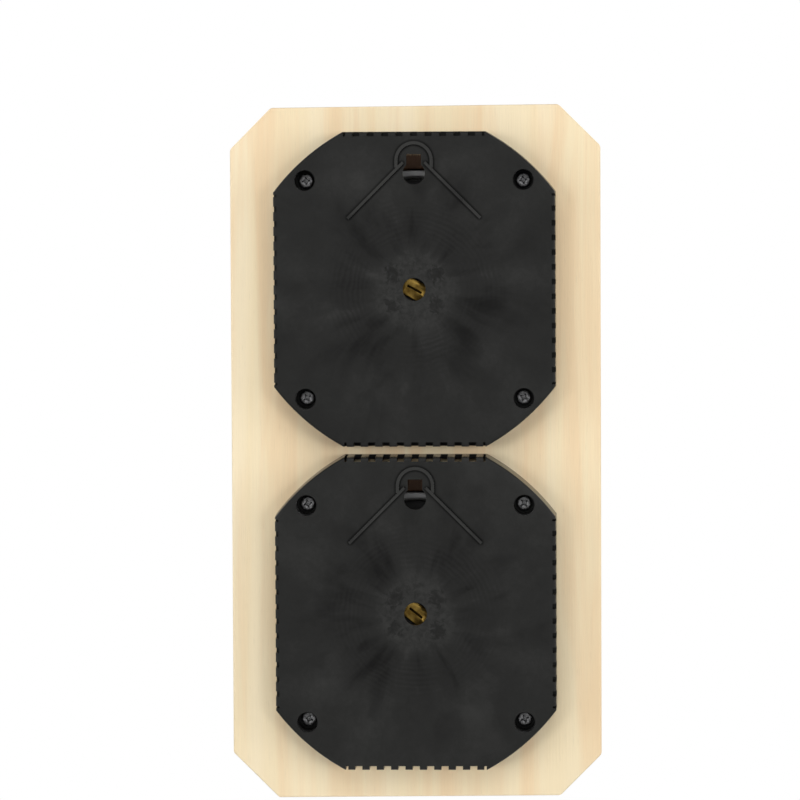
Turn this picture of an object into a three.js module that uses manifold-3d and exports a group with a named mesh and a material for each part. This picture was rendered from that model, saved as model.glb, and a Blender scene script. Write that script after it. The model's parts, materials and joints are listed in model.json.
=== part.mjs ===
// Twin-dial wall thermometer and hygrometer on a wooden board, in millimetres.
// +Z is up, -Y is the dial side and +Y is the wall side. The origin is the hang point: the top edge of the
// upper keyhole, in the plane of the rear housings' backs. A depth is a distance from that plane towards -Y.
import * as THREE from "three";
import { mergeVertices } from "three/addons/utils/BufferGeometryUtils.js";
import Module from "manifold-3d";

const wasm = await Module();
wasm.setup();

// ---- Driving dimensions ----
const SEAM = 0.3; // clearance between pieces that touch
const PITCH = 122.1; // between the two dial centres
const HANG_HEIGHT = 50.7; // keyhole's top edge above its dial centre
const BACK_RIB = 0.9; // height of the arch and guide ribs on the back

const HOUSING = { halfWidth: 52.85, halfHeight: 59.05, depth: 14.7, wall: 1.7, draft: 0.4 };
const CORNER_ARC = { radius: 81, reach: 64, tilt: THREE.MathUtils.degToRad(45.5), steps: 6 };
const HOUSING_SCREW = { offset: 41, recess: 3.9, tube: 5.3, flange: 1.5, hole: 1.7 };
const SCREW = {
  head: 2.75, headHeight: 1.9, shank: 1.35, length: 9.8, point: 1.5, slot: 0.8, span: 3.2, slotDepth: 1.1,
};
const KEYHOLE = { entry: 4.2, entryHeight: 43.5, halfSlot: 2.75 };
const ARCH = { outer: 7.2, width: 1.2, height: 48.3, foot: 45.7 };
const GUIDE_RIB = { width: 1.05, inner: 4, top: 47.6, run: 20.9 };
const ACCESS_HOLE = 4.3;
// Slots through the walls, from the back down to a depth, whose notches cut into the edge of the back.
const END_VENTS = { pitch: 5.42, full: 4, gap: 2.7, slitAt: 26.1, slit: 0.9, notch: 1.65, front: 13.4 };
const SIDE_VENTS = { pitch: 5.5, full: 6, gap: 2.1, slitAt: 35.3, slit: 0.9, notch: 1.3, front: 8.5 };

const BOARD = {
  halfWidth: 70.15, height: 262.6, thickness: 13, back: 15,
  low: 1.05, skew: 1.1, edge: 0.8, opening: 45.3, pilot: 1.7, pilotDepth: 8.4,
};
// Legs of the 45 degree corner cuts, anticlockwise seen from the wall side, from the corner at +X and the top.
const CORNER_CUTS = { plusTop: 15.4, plusBottom: 17.2, minusBottom: 15.5, minusTop: 15.7 };

const CASING = {
  bore: 41.5, window: 39.8, flange: 49.9, barrel: 45, mouth: 42.2,
  rim: 14.9, mouthEnd: 17, seat: 28.3, lip: 29.1, front: 30.5,
};
const DISC = 41.2; // radius of everything that drops into the casing
const LENS = { back: 26.8, front: 28.8 };
const SPACER = { inner: 39.6, back: 23.7, front: 26.5 };
const DIAL = { back: 22.6, front: 23.4, bore: 2.9 };
const RETAINER = { inner: 37, back: 20.9 };
const BRIDGE = { legs: 15, feet: 21, halfStrip: 5, strip: 1, bar: 7.2, foot: 21.3, bore: 3.2 };
const RIVET = { at: 18, shank: 0.9, hole: 1.2, tail: 1.5, head: 1.7, back: 20.2, front: 24.1 };
const BUSHING = { bore: 1.15, flange: 4.2, body: 2.6, back: 21.3, front: 23.9 };
const ADJUSTER = {
  back: 3.8, thickness: 2.2, halfFlats: 3.5, round: 5, slot: 0.85, slotLength: 6, slotDepth: 1.4,
  neck: 2.9, shoulder: 8.6, stem: 2.2, peen: 10, end: 10.6, bore: 1.1, boreDepth: 7.2,
};
const WASHER = { inner: 3.2, outer: 5, back: 6.3, front: 6.9 };
const ARM = { hub: 4.3, bore: 2.5, back: 8.9, thickness: 0.8, width: 4, reach: 10.9, lug: 17.4 };
const COIL = { inner: 2.4, outer: 9.5, turns: 4.5, strip: 0.45, back: 11, front: 17, steps: 16 };
const ARBOR = { radius: 0.75, back: 7.6, front: 25.6, collet: 1.9, collar: 1.5, collarBack: 20.1 };
const POINTER = { tip: 32, tail: 11, root: 2.4, point: 0.5, back: 24.5, thickness: 0.4, bore: 1.05 };
const POINTER_HUB = { radius: 3.4, back: 25.2, front: 26.3, bore: 1.05, boreEnd: 25.9 };

// Angles are clockwise, seen from the dial side, from straight up.
const SCALE_SWEEP = 270;
const UNITS = [
  { name: "thermo", height: 0, slotAngle: 61, scaleTop: 140, reading: 20, coil: "bimetal_coil" },
  { name: "hygro", height: -PITCH, slotAngle: 51.2, scaleTop: 100, reading: 45, coil: "humidity_coil" },
];

const ROUND = 40;
const SMALL_ROUND = 16;
const TINY_ROUND = 8;
const OVERCUT = 1; // how far a cutter runs past the face it opens

// ---- Materials ----
const finish = (color, roughness, metalness) => new THREE.MeshStandardMaterial({ color, roughness, metalness });
const WOOD = finish(0xecdcbb, 0.6, 0);
const BLACK_PLASTIC = finish(0x2c2c2b, 0.45, 0);
const GLOSS_PLASTIC = finish(0x141414, 0.2, 0);
const STEEL = finish(0x77777a, 0.4, 1);
const BRASS = finish(0x8f7738, 0.35, 1);
const BIMETAL = finish(0xa89a78, 0.4, 1);
const DIAL_PAINT = finish(0xf2efe6, 0.5, 0);
const POINTER_PAINT = finish(0x1a1a1a, 0.4, 0.2);
const CLEAR = new THREE.MeshStandardMaterial({ color: 0xffffff, roughness: 0.05, transparent: true, opacity: 0.3 });

// ---- Solids ----
// A closed three.js geometry as a manifold solid whose faces point out.
function solid(geometry) {
  const bare = geometry.index ? geometry : geometry.clone();
  bare.deleteAttribute("normal");
  bare.deleteAttribute("uv");
  const merged = mergeVertices(bare, 1e-4);
  const triVerts = new Uint32Array(merged.index.array);
  const made = meshSolid(merged.attributes.position.array, triVerts);
  return made.volume() < 0 ? meshSolid(merged.attributes.position.array, triVerts.reverse()) : made;
}

function meshSolid(vertProperties, triVerts) {
  return new wasm.Manifold(new wasm.Mesh({ numProp: 3, vertProperties, triVerts }));
}

function geometryOf(made) {
  const mesh = made.getMesh();
  const geometry = new THREE.BufferGeometry();
  geometry.setAttribute("position", new THREE.BufferAttribute(mesh.vertProperties, 3));
  geometry.setIndex(new THREE.BufferAttribute(mesh.triVerts, 1));
  return geometry.toNonIndexed();
}

function joined(pieces) {
  return pieces.reduce((whole, piece) => whole.add(piece));
}

function cut(body, cutters) {
  return body.subtract(joined(cutters));
}

// A shape drawn in X and Z, from one depth to another.
function plate(shape, back, front) {
  const geometry = new THREE.ExtrudeGeometry(shape, { depth: front - back, bevelEnabled: false, curveSegments: 8 });
  return solid(geometry.rotateX(Math.PI / 2).translate(0, -back, 0));
}

// A closed profile of [radius, depth] points turned round the dial axis.
function turned(profile, segments = ROUND) {
  const points = profile.map(([radius, depth]) => new THREE.Vector2(radius, -depth));
  return solid(new THREE.LatheGeometry(points, segments));
}

function ring(inner, outer, back, front, segments = ROUND) {
  return turned([[inner, back], [outer, back], [outer, front], [inner, front], [inner, back]], segments);
}

function rod(radius, back, front, segments = SMALL_ROUND) {
  return turned([[0, back], [radius, back], [radius, front], [0, front]], segments);
}

function block(fromX, toX, back, front, fromZ, toZ) {
  const geometry = new THREE.BoxGeometry(toX - fromX, front - back, toZ - fromZ);
  return solid(geometry.translate((fromX + toX) / 2, -(back + front) / 2, (fromZ + toZ) / 2));
}

function polygon(points) {
  return new THREE.Shape(points.map(([x, z]) => new THREE.Vector2(x, z)));
}

const degrees = THREE.MathUtils.degToRad;

// ---- Rear housing ----
// Four straight sides joined by four shallow arcs, drawn a given distance inside the outer outline.
function housingOutline(inset) {
  const radius = CORNER_ARC.radius - inset;
  const halfWidth = HOUSING.halfWidth - inset;
  const halfHeight = HOUSING.halfHeight - inset;
  const centreX = (CORNER_ARC.reach - CORNER_ARC.radius) * Math.cos(CORNER_ARC.tilt);
  const centreZ = (CORNER_ARC.reach - CORNER_ARC.radius) * Math.sin(CORNER_ARC.tilt);
  const start = Math.acos((halfWidth - centreX) / radius);
  const end = Math.asin((halfHeight - centreZ) / radius);
  const arc = [];
  for (let i = 0; i <= CORNER_ARC.steps; i++) {
    const angle = start + ((end - start) * i) / CORNER_ARC.steps;
    arc.push([centreX + radius * Math.cos(angle), centreZ + radius * Math.sin(angle)]);
  }
  const back = [...arc].reverse();
  return polygon([
    ...arc,
    ...back.map(([x, z]) => [-x, z]),
    ...arc.map(([x, z]) => [-x, -z]),
    ...back.map(([x, z]) => [x, -z]),
  ]);
}

// The sides lean out towards the board by the moulding draft.
function drafted(made) {
  return made.warp((point) => {
    const grow = 1 + (HOUSING.draft / HOUSING.halfWidth) * (-point[1] / HOUSING.depth);
    point[0] *= grow;
    point[2] *= grow;
  });
}

function screwCorners() {
  const at = HOUSING_SCREW.offset;
  return [[-at, at], [at, at], [-at, -at], [at, -at]];
}

function ventCutters() {
  const cutters = [];
  const inside = HOUSING.wall + OVERCUT;
  const ordered = (first, second) => (first < second ? [first, second] : [second, first]);
  const endCut = (at, gap) => {
    for (const side of [-1, 1]) {
      const span = (inset) => ordered(side * (HOUSING.halfHeight - inset), side * (HOUSING.halfHeight + OVERCUT));
      const across = [at - gap / 2, at + gap / 2];
      cutters.push(block(...across, -OVERCUT, HOUSING.wall, ...span(END_VENTS.notch)));
      cutters.push(block(...across, HOUSING.wall, END_VENTS.front, ...span(inside)));
    }
  };
  const sideCut = (at, gap) => {
    for (const side of [-1, 1]) {
      const span = (inset) => ordered(side * (HOUSING.halfWidth - inset), side * (HOUSING.halfWidth + OVERCUT));
      const along = [at - gap / 2, at + gap / 2];
      cutters.push(block(...span(SIDE_VENTS.notch), -OVERCUT, HOUSING.wall, ...along));
      cutters.push(block(...span(inside), HOUSING.wall, SIDE_VENTS.front, ...along));
    }
  };
  for (let i = -END_VENTS.full; i <= END_VENTS.full; i++) endCut(i * END_VENTS.pitch, END_VENTS.gap);
  for (let i = 0.5; i < SIDE_VENTS.full; i++) {
    for (const side of [-1, 1]) sideCut(side * i * SIDE_VENTS.pitch, SIDE_VENTS.gap);
  }
  for (const side of [-1, 1]) {
    endCut(side * END_VENTS.slitAt, END_VENTS.slit);
    sideCut(side * SIDE_VENTS.slitAt, SIDE_VENTS.slit);
  }
  return cutters;
}

function arch() {
  const inner = ARCH.outer - ARCH.width;
  const shape = new THREE.Shape();
  shape.moveTo(ARCH.outer, ARCH.foot);
  shape.lineTo(ARCH.outer, ARCH.height);
  shape.absarc(0, ARCH.height, ARCH.outer, 0, Math.PI, false);
  shape.lineTo(-ARCH.outer, ARCH.foot);
  shape.lineTo(-inner, ARCH.foot);
  shape.lineTo(-inner, ARCH.height);
  shape.absarc(0, ARCH.height, inner, Math.PI, 0, true);
  shape.lineTo(inner, ARCH.foot);
  return plate(shape, -BACK_RIB, HOUSING.wall / 2);
}

function guideRib(side) {
  const across = (GUIDE_RIB.width / 2) * Math.SQRT1_2;
  const [x0, z0] = [GUIDE_RIB.inner, GUIDE_RIB.top];
  const [x1, z1] = [x0 + GUIDE_RIB.run, z0 - GUIDE_RIB.run];
  const corners = [
    [x0 - across, z0 - across], [x1 - across, z1 - across],
    [x1 + across, z1 + across], [x0 + across, z0 + across],
  ];
  return plate(polygon(corners.map(([x, z]) => [side * x, z])), -BACK_RIB, HOUSING.wall / 2);
}

function rearHousing() {
  const outside = drafted(plate(housingOutline(0), 0, HOUSING.depth));
  const cavity = drafted(plate(housingOutline(HOUSING.wall), HOUSING.wall, HOUSING.depth + OVERCUT));
  const shell = outside.subtract(cavity);
  const tubes = [];
  const holes = [];
  for (const [x, z] of screwCorners()) {
    const floor = HOUSING.depth - HOUSING_SCREW.flange;
    tubes.push(rod(HOUSING_SCREW.tube, HOUSING.wall / 2, HOUSING.depth).translate([x, 0, z]));
    holes.push(rod(HOUSING_SCREW.recess, -OVERCUT, floor).translate([x, 0, z]));
    holes.push(rod(HOUSING_SCREW.hole, 0, HOUSING.depth + OVERCUT, TINY_ROUND).translate([x, 0, z]));
  }
  const through = HOUSING.wall + OVERCUT;
  const ribs = joined([arch(), guideRib(-1), guideRib(1)]);
  const keyhole = [
    rod(KEYHOLE.entry, -OVERCUT, through).translate([0, 0, KEYHOLE.entryHeight]),
    block(-KEYHOLE.halfSlot, KEYHOLE.halfSlot, -OVERCUT, through, KEYHOLE.entryHeight, HANG_HEIGHT),
    rod(ACCESS_HOLE, -OVERCUT, through),
  ];
  const whole = joined([shell, ribs, ...tubes.map((tube) => tube.intersect(outside))]);
  return cut(whole, [...holes, ...keyhole, ...ventCutters()]);
}

function housingScrew() {
  const seat = HOUSING.depth - HOUSING_SCREW.flange - SEAM;
  const top = seat - SCREW.headHeight;
  const body = turned([
    [0, top], [SCREW.head * 0.75, top], [SCREW.head, top + 0.9], [SCREW.head, seat], [SCREW.shank, seat],
    [SCREW.shank, seat + SCREW.length - SCREW.point], [0, seat + SCREW.length],
  ], 12);
  const arm = SCREW.span / 2;
  const half = SCREW.slot / 2;
  const bottom = top + SCREW.slotDepth;
  return cut(body, [
    block(-arm, arm, top - OVERCUT, bottom, -half, half),
    block(-half, half, top - OVERCUT, bottom, -arm, arm),
  ]);
}

// ---- Board ----
// The two ends slope a little: they rise towards -X by the skew.
function board() {
  const middle = -HANG_HEIGHT - PITCH / 2 - BOARD.low;
  const edgeAt = (x, side) => middle + (side * BOARD.height) / 2 - (BOARD.skew * x) / (2 * BOARD.halfWidth);
  const inset = BOARD.edge;
  const corner = (sideX, sideZ, leg) => {
    const wide = sideX * (BOARD.halfWidth - inset);
    const shift = inset * Math.tan(Math.PI / 8);
    const along = wide - sideX * (leg - shift);
    const high = edgeAt(wide, sideZ) - sideZ * inset;
    return [[wide, high - sideZ * (leg - shift)], [along, edgeAt(along, sideZ) - sideZ * inset]];
  };
  const outline = polygon([
    ...corner(1, 1, CORNER_CUTS.plusTop),
    ...corner(-1, 1, CORNER_CUTS.minusTop).reverse(),
    ...corner(-1, -1, CORNER_CUTS.minusBottom),
    ...corner(1, -1, CORNER_CUTS.plusBottom).reverse(),
  ]);
  const geometry = new THREE.ExtrudeGeometry(outline, {
    depth: BOARD.thickness - 2 * inset, bevelThickness: inset, bevelSize: inset, bevelSegments: 1,
  });
  const slab = solid(geometry.rotateX(Math.PI / 2).translate(0, -BOARD.back - inset, 0));
  const cutters = [];
  for (const unit of UNITS) {
    const centre = unit.height - HANG_HEIGHT;
    const opening = rod(BOARD.opening, BOARD.back - OVERCUT, BOARD.back + BOARD.thickness + OVERCUT, ROUND);
    cutters.push(opening.translate([0, 0, centre]));
    for (const [x, z] of screwCorners()) {
      const pilot = rod(BOARD.pilot, BOARD.back - OVERCUT, BOARD.back + BOARD.pilotDepth, TINY_ROUND);
      cutters.push(pilot.translate([x, 0, z + centre]));
    }
  }
  return cut(slab, cutters);
}

// ---- Front ----
function dialCasing() {
  const round = 0.5;
  return turned([
    [CASING.barrel, CASING.seat], [CASING.flange, CASING.seat], [CASING.flange, CASING.front - 2 * round],
    [CASING.flange - round, CASING.front - round / 2], [CASING.flange - 3 * round, CASING.front],
    [CASING.window + round, CASING.front], [CASING.window, CASING.front - round], [CASING.window, CASING.lip],
    [CASING.bore, CASING.lip], [CASING.bore, CASING.mouthEnd], [CASING.mouth, CASING.rim + round],
    [CASING.mouth + round, CASING.rim], [CASING.barrel - round, CASING.rim],
    [CASING.barrel, CASING.rim + round], [CASING.barrel, CASING.seat],
  ]);
}

function dialPlate() {
  const holes = [-RIVET.at, RIVET.at].map((x) => rod(RIVET.hole, 0, CASING.front, TINY_ROUND).translate([x, 0, 0]));
  return cut(ring(DIAL.bore, DISC, DIAL.back, DIAL.front), holes);
}

// ---- Movement ----
function movementBridge() {
  const { legs, feet, strip, bar, foot, halfStrip } = BRIDGE;
  const base = foot + strip;
  const profile = [
    [-legs, bar], [legs, bar], [legs, foot], [feet, foot], [feet, base], [legs - strip, base],
    [legs - strip, bar + strip], [strip - legs, bar + strip], [strip - legs, base], [-feet, base],
    [-feet, foot], [-legs, foot],
  ];
  const shape = polygon(profile.map(([x, depth]) => [x, -depth]));
  const geometry = new THREE.ExtrudeGeometry(shape, { depth: 2 * halfStrip, bevelEnabled: false });
  const holes = [-RIVET.at, RIVET.at].map((x) => rod(RIVET.hole, bar, DIAL.back, TINY_ROUND).translate([x, 0, 0]));
  const bore = rod(BRIDGE.bore, bar - OVERCUT, bar + strip + OVERCUT);
  return cut(solid(geometry.translate(0, 0, -halfStrip)), [bore, ...holes]);
}

function bridgeRivet() {
  const tailEnd = BRIDGE.foot - SEAM;
  const headStart = DIAL.front + SEAM;
  return turned([
    [0, RIVET.back], [RIVET.tail, RIVET.back + 0.2], [RIVET.tail, tailEnd], [RIVET.shank, tailEnd],
    [RIVET.shank, headStart], [RIVET.head, headStart], [RIVET.head * 0.8, RIVET.front], [0, RIVET.front],
  ], TINY_ROUND);
}

function dialBushing() {
  const step = BUSHING.back + 1;
  return turned([
    [BUSHING.bore, BUSHING.back], [BUSHING.flange, BUSHING.back], [BUSHING.flange, step],
    [BUSHING.body, step], [BUSHING.body, BUSHING.front], [BUSHING.bore, BUSHING.front],
    [BUSHING.bore, BUSHING.back],
  ], SMALL_ROUND);
}

// The head is round with two flats, and its slot runs along X, parallel to them.
function adjuster() {
  const { back, thickness, neck, shoulder, stem, peen, end, bore, boreDepth } = ADJUSTER;
  const under = back + thickness;
  const flats = block(-ADJUSTER.round, ADJUSTER.round, back, under, -ADJUSTER.halfFlats, ADJUSTER.halfFlats);
  const head = rod(ADJUSTER.round, back, under).intersect(flats);
  const post = turned([
    [0, under - 0.5], [neck, under - 0.5], [neck, shoulder], [stem, shoulder], [stem, peen],
    [stem + 0.4, peen + 0.2], [stem + 0.4, end], [bore, end], [bore, boreDepth], [0, boreDepth],
  ], SMALL_ROUND);
  const half = ADJUSTER.slotLength / 2;
  const slot = block(-half, half, back - OVERCUT, back + ADJUSTER.slotDepth, -ADJUSTER.slot / 2, ADJUSTER.slot / 2);
  return cut(head.add(post), [slot]);
}

// A round hub with an arm along X whose end turns forward to hold the coil's outer end.
function anchorArm() {
  const front = ARM.back + ARM.thickness;
  const lugStart = ARM.reach - ARM.thickness;
  const arm = block(0, ARM.reach, ARM.back, front, -ARM.width / 2, ARM.width / 2);
  const lug = block(lugStart, ARM.reach, ARM.back, ARM.lug, -ARM.width / 2, ARM.width / 2);
  return cut(joined([rod(ARM.hub, ARM.back, front), arm, lug]), [rod(ARM.bore, 0, CASING.front)]);
}

// A flat strip wound in an even spiral, whose outer end lies on X.
function sensingCoil() {
  const count = COIL.turns * COIL.steps;
  const side = (offset) => {
    const points = [];
    for (let i = 0; i <= count; i++) {
      const radius = COIL.inner + ((COIL.outer - COIL.inner) * i) / count + offset;
      const angle = 2 * Math.PI * (i / COIL.steps - COIL.turns);
      points.push([radius * Math.cos(angle), radius * Math.sin(angle)]);
    }
    return points;
  };
  return plate(polygon([...side(COIL.strip / 2), ...side(-COIL.strip / 2).reverse()]), COIL.back, COIL.front);
}

function arbor() {
  const collarFront = ARBOR.collarBack + 0.9;
  return turned([
    [0, ARBOR.back], [ARBOR.radius, ARBOR.back], [ARBOR.radius, COIL.back], [ARBOR.collet, COIL.back],
    [ARBOR.collet, COIL.front], [ARBOR.radius, COIL.front], [ARBOR.radius, ARBOR.collarBack],
    [ARBOR.collar, ARBOR.collarBack], [ARBOR.collar, collarFront], [ARBOR.radius, collarFront],
    [ARBOR.radius, ARBOR.front], [0, ARBOR.front],
  ], TINY_ROUND);
}

function pointer() {
  const { tip, tail, root, point, back, thickness } = POINTER;
  const outline = polygon([
    [-point, tip - 1], [0, tip], [point, tip - 1], [root, 0], [root, -2], [1.2, -tail], [-1.2, -tail],
    [-root, -2], [-root, 0],
  ]);
  return cut(plate(outline, back, back + thickness), [rod(POINTER.bore, 0, CASING.front, TINY_ROUND)]);
}

function pointerHub() {
  const { radius, back, front, bore, boreEnd } = POINTER_HUB;
  return turned([
    [0, front], [radius - 0.5, front], [radius, front - 0.4], [radius, back], [bore, back], [bore, boreEnd],
    [0, boreEnd],
  ], SMALL_ROUND);
}

// ---- Assembly ----
function piece(name, made, material) {
  const mesh = new THREE.Mesh(geometryOf(made), material);
  mesh.name = name;
  return mesh;
}

// Turns an object clockwise, seen from the dial side.
function turnedBy(object, angle) {
  object.rotation.y = degrees(angle);
  return object;
}

function instrument(unit) {
  const group = new THREE.Group();
  const named = (name, made, material) => piece(unit.name + "_" + name, made, material);
  group.add(named("rear_housing", rearHousing(), BLACK_PLASTIC));
  screwCorners().forEach(([x, z], i) => {
    const screw = named("housing_screw_" + (i + 1), housingScrew(), STEEL);
    screw.position.set(x, 0, z);
    group.add(turnedBy(screw, 20 + 25 * i));
  });
  group.add(
    named("dial_casing", dialCasing(), GLOSS_PLASTIC),
    named("lens", rod(DISC, LENS.back, LENS.front, ROUND), CLEAR),
    named("dial_spacer", ring(SPACER.inner, DISC, SPACER.back, SPACER.front), GLOSS_PLASTIC),
    named("dial_plate", dialPlate(), DIAL_PAINT),
    named("dial_retainer", ring(RETAINER.inner, DISC, RETAINER.back, DIAL.back - SEAM), BLACK_PLASTIC),
    named("movement_bridge", movementBridge(), STEEL),
    named("dial_bushing", dialBushing(), BRASS),
    named("friction_washer", ring(WASHER.inner, WASHER.outer, WASHER.back, WASHER.front, SMALL_ROUND), STEEL),
  );
  [-RIVET.at, RIVET.at].forEach((x, i) => {
    const rivet = named("bridge_rivet_" + (i + 1), bridgeRivet(), STEEL);
    rivet.position.x = x;
    group.add(rivet);
  });

  const calibrated = new THREE.Group();
  calibrated.add(
    named("adjuster", adjuster(), BRASS),
    named("anchor_arm", anchorArm(), STEEL),
    named(unit.coil, sensingCoil(), BIMETAL),
  );
  group.add(turnedBy(calibrated, unit.slotAngle - 90));

  const needle = new THREE.Group();
  needle.add(
    named("arbor", arbor(), STEEL),
    named("pointer", pointer(), POINTER_PAINT),
    named("pointer_hub", pointerHub(), POINTER_PAINT),
  );
  group.add(turnedBy(needle, SCALE_SWEEP * (unit.reading / unit.scaleTop - 0.5)));

  group.position.z = unit.height - HANG_HEIGHT;
  return group;
}

const station = new THREE.Group();
station.add(piece("wood_board", board(), WOOD), ...UNITS.map(instrument));

export default station;
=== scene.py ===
"""Looks of the twin-dial wall thermometer and hygrometer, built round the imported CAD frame, in metres.

+Z is up, -Y is the dial side and +Y is the wall side, which the camera looks at. Meshes are drawn in
millimetres, round the axis of their own dial: X across, Z up, and depth from the housings' backs to -Y.
"""

import json
import math

import bmesh
import bpy
from mathutils import Matrix, Vector
from mathutils.geometry import convex_hull_2d


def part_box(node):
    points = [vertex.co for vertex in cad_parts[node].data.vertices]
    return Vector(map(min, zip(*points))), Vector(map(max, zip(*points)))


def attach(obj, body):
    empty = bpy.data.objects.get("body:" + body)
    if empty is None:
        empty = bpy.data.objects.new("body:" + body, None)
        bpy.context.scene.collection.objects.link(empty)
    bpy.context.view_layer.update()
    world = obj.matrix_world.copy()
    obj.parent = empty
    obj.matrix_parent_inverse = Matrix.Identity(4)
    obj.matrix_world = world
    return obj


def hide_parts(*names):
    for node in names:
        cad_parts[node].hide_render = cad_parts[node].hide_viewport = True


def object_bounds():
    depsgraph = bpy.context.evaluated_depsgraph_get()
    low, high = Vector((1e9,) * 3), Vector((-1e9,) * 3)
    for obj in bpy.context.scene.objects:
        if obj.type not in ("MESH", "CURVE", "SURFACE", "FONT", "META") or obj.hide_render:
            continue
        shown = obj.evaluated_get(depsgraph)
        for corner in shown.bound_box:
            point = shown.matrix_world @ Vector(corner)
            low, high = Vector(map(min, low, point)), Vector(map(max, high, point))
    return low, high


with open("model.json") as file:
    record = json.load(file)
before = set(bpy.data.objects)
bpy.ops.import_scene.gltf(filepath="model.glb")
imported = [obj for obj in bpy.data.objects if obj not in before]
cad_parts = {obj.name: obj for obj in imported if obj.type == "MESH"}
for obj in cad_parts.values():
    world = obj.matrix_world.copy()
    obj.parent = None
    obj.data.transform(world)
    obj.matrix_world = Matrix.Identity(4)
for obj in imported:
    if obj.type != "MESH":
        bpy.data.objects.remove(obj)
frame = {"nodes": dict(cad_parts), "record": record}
cad_low, cad_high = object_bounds()

# ---- Frame ----
MM = 0.001
RECORD = frame["record"]
BODY_OF = {node: body for body, nodes in RECORD["behaviour"]["bodies"].items() for node in nodes}

# Angles are clockwise from straight up, seen from the dial side.
UNITS = {
    "thermo": {"slot_angle": 61, "coil": "bimetal_coil", "top": 140, "reading": 20, "seed": 0.0},
    "hygro": {"slot_angle": 51.2, "coil": "humidity_coil", "top": 100, "reading": 45, "seed": 7.3},
}
SCALE_SWEEP = 270

# Sizes are in millimetres, and depths run from the housings' backs towards the dials.
HOUSING = {
    "half_width": 52.85, "half_height": 59.05, "depth": 14.7, "wall": 1.7,
    "draft": 0.4, "edge": 0.22, "round": 0.9, "round_steps": 6,
}
CORNER_ARC = {"radius": 81, "reach": 64, "tilt": math.radians(45.5), "steps": 20}
SCREW_AT = 41
RECESS = {"radius": 3.9, "tube": 5.3, "flange": 1.5, "hole": 1.7}
KEYHOLE = {"entry": 4.2, "entry_height": 43.5, "half_slot": 2.75, "top": 50.7}
ARCH = {"outer": 7.2, "width": 1.2, "height": 48.3, "foot": 45.7}
GUIDE_RIB = {"width": 1.05, "inner": 4, "top": 47.6, "run": 20.9}
BACK_RIB = 0.9
ACCESS_HOLE = 4.3
END_VENTS = {
    "pitch": 5.42, "steps": range(-4, 5), "gap": 2.7, "slit_at": 26.1,
    "notch": 1.65, "front": 13.4,
}
SIDE_VENTS = {
    "pitch": 5.5, "steps": [i + 0.5 for i in range(-6, 6)], "gap": 2.1, "slit_at": 35.3,
    "notch": 1.3, "front": 8.5,
}
SLIT = 0.9
BOARD_EDGE = 0.8
SCREW = {"head": 1.9, "shank": 1.35, "point": 1.5}
CROSS = {"mouth": 1.6, "foot": 0.7, "half_width": 0.33, "depth": 1.3, "bowl": 0.95}
ADJUSTER = {
    "radius": 5, "half_flats": 3.5, "head": 2.2,
    "half_slot": 3, "slot_width": 0.85, "slot_depth": 1.4,
}
ADJUSTER_STEM = {
    "neck": 2.9, "stem": 2.2, "peen": 2.6, "bore": 1.1,
    "shoulder": 8.6, "peen_from": 10, "bore_from": 7.2,
}
CASING = {
    "bore": 41.5, "window": 39.8, "flange": 49.9, "barrel": 45,
    "mouth": 42.2, "curve": 0.5, "opening": 45.3,
}
PLATE_BORE = 2.9
BRIDGE = {"legs": 15, "strip": 1, "bore": 3.2, "rivet_at": 18, "rivet_hole": 1.2}
COIL = {"inner": 2.4, "outer": 9.5, "turns": 4.5, "strip": 0.45, "steps": 48}
ANCHOR_ARM = {
    "hub": 4.3, "bore": 2.5, "reach": 10.9, "half_width": 2,
    "back": 8.9, "thick": 0.8, "front": 17.4,
}
ARBOR = {
    "radius": 0.75, "collet": 1.9, "collet_from": 11, "collet_to": 17,
    "collar": 1.5, "collar_from": 20.1, "collar_to": 21,
}
RIVET = {"tail": 1.5, "tail_to": 21, "shank": 0.9, "head": 1.7, "head_from": 23.7}
BUSHING = {"bore": 1.15, "flange": 4.2, "barrel": 2.6}
OVERCUT = 1.0


# ---- Meshes ----
def linked(name, mesh):
    made = bpy.data.objects.new(name, mesh)
    bpy.context.scene.collection.objects.link(made)
    return made


def mesh_of(points, faces):
    """A mesh from points in millimetres."""
    mesh = bpy.data.meshes.new("draft")
    mesh.from_pydata([Vector(p) * MM for p in points], [], faces)
    mesh.validate()
    return mesh


def outward(mesh):
    """The mesh with its doubled points joined and its faces turned outwards."""
    work = bmesh.new()
    work.from_mesh(mesh)
    bmesh.ops.remove_doubles(work, verts=work.verts, dist=1e-7)
    bmesh.ops.recalc_face_normals(work, faces=work.faces)
    work.to_mesh(mesh)
    work.free()
    return mesh


def smooth(mesh, sharp_above=35):
    """Smooth shading, with edges left sharp where two faces meet at more than an angle in degrees."""
    work = bmesh.new()
    work.from_mesh(mesh)
    for face in work.faces:
        face.smooth = True
    for edge in work.edges:
        flat = len(edge.link_faces) == 2 and edge.calc_face_angle(0) <= math.radians(sharp_above)
        edge.smooth = flat
    work.to_mesh(mesh)
    work.free()
    return mesh


def prism(outline, back, front):
    """A solid with an outline of (x, z) points, between two depths."""
    count = len(outline)
    points = [(x, -back, z) for x, z in outline] + [(x, -front, z) for x, z in outline]
    sides = [(i, (i + 1) % count, (i + 1) % count + count, i + count) for i in range(count)]
    return outward(mesh_of(points, [tuple(range(count)), tuple(range(count, 2 * count))] + sides))


def block(from_x, to_x, back, front, from_z, to_z):
    return prism([(from_x, from_z), (to_x, from_z), (to_x, to_z), (from_x, to_z)], back, front)


def stacked(layers):
    """A solid through several outlines of equal point count, given as (outline, depth)."""
    count = len(layers[0][0])
    points = [(x, -depth, z) for outline, depth in layers for x, z in outline]
    last = (len(layers) - 1) * count
    faces = [tuple(range(count)), tuple(range(last, last + count))]
    for start in range(0, last, count):
        for i in range(count):
            j = (i + 1) % count
            faces.append((start + i, start + j, start + count + j, start + count + i))
    return outward(mesh_of(points, faces))


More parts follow.
